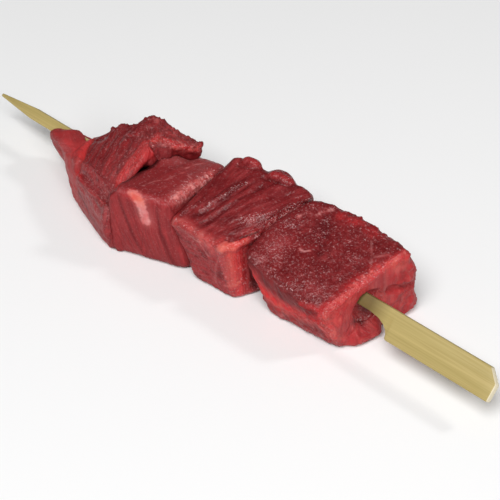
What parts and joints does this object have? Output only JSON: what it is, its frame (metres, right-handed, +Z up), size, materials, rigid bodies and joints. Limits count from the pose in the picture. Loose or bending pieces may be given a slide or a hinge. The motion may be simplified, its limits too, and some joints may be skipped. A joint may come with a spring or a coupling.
{
  "type": "beef kebab skewer",
  "caption": "Raw beef kebab: chunks of red beef threaded close together on a flat bamboo skewer with a paddle handle, lying on its side.",
  "frame": {"origin": "middle of the footprint, on the surface that the meat rests on", "axes": "+X along the skewer from its point to its handle, +Y away from the low front edge of the meat, +Z up"},
  "size_m": [0.2, 0.0438, 0.0288],
  "materials": {
    "raw_beef": "wet raw beef, dark red with a moist sheen",
    "bamboo": "planed pale bamboo, bare"
  },
  "bodies": {
    "root": {"skewer": "bamboo", "beef_1": "raw_beef", "beef_2": "raw_beef", "beef_3": "raw_beef", "beef_4": "raw_beef"}
  },
  "joints": []
}
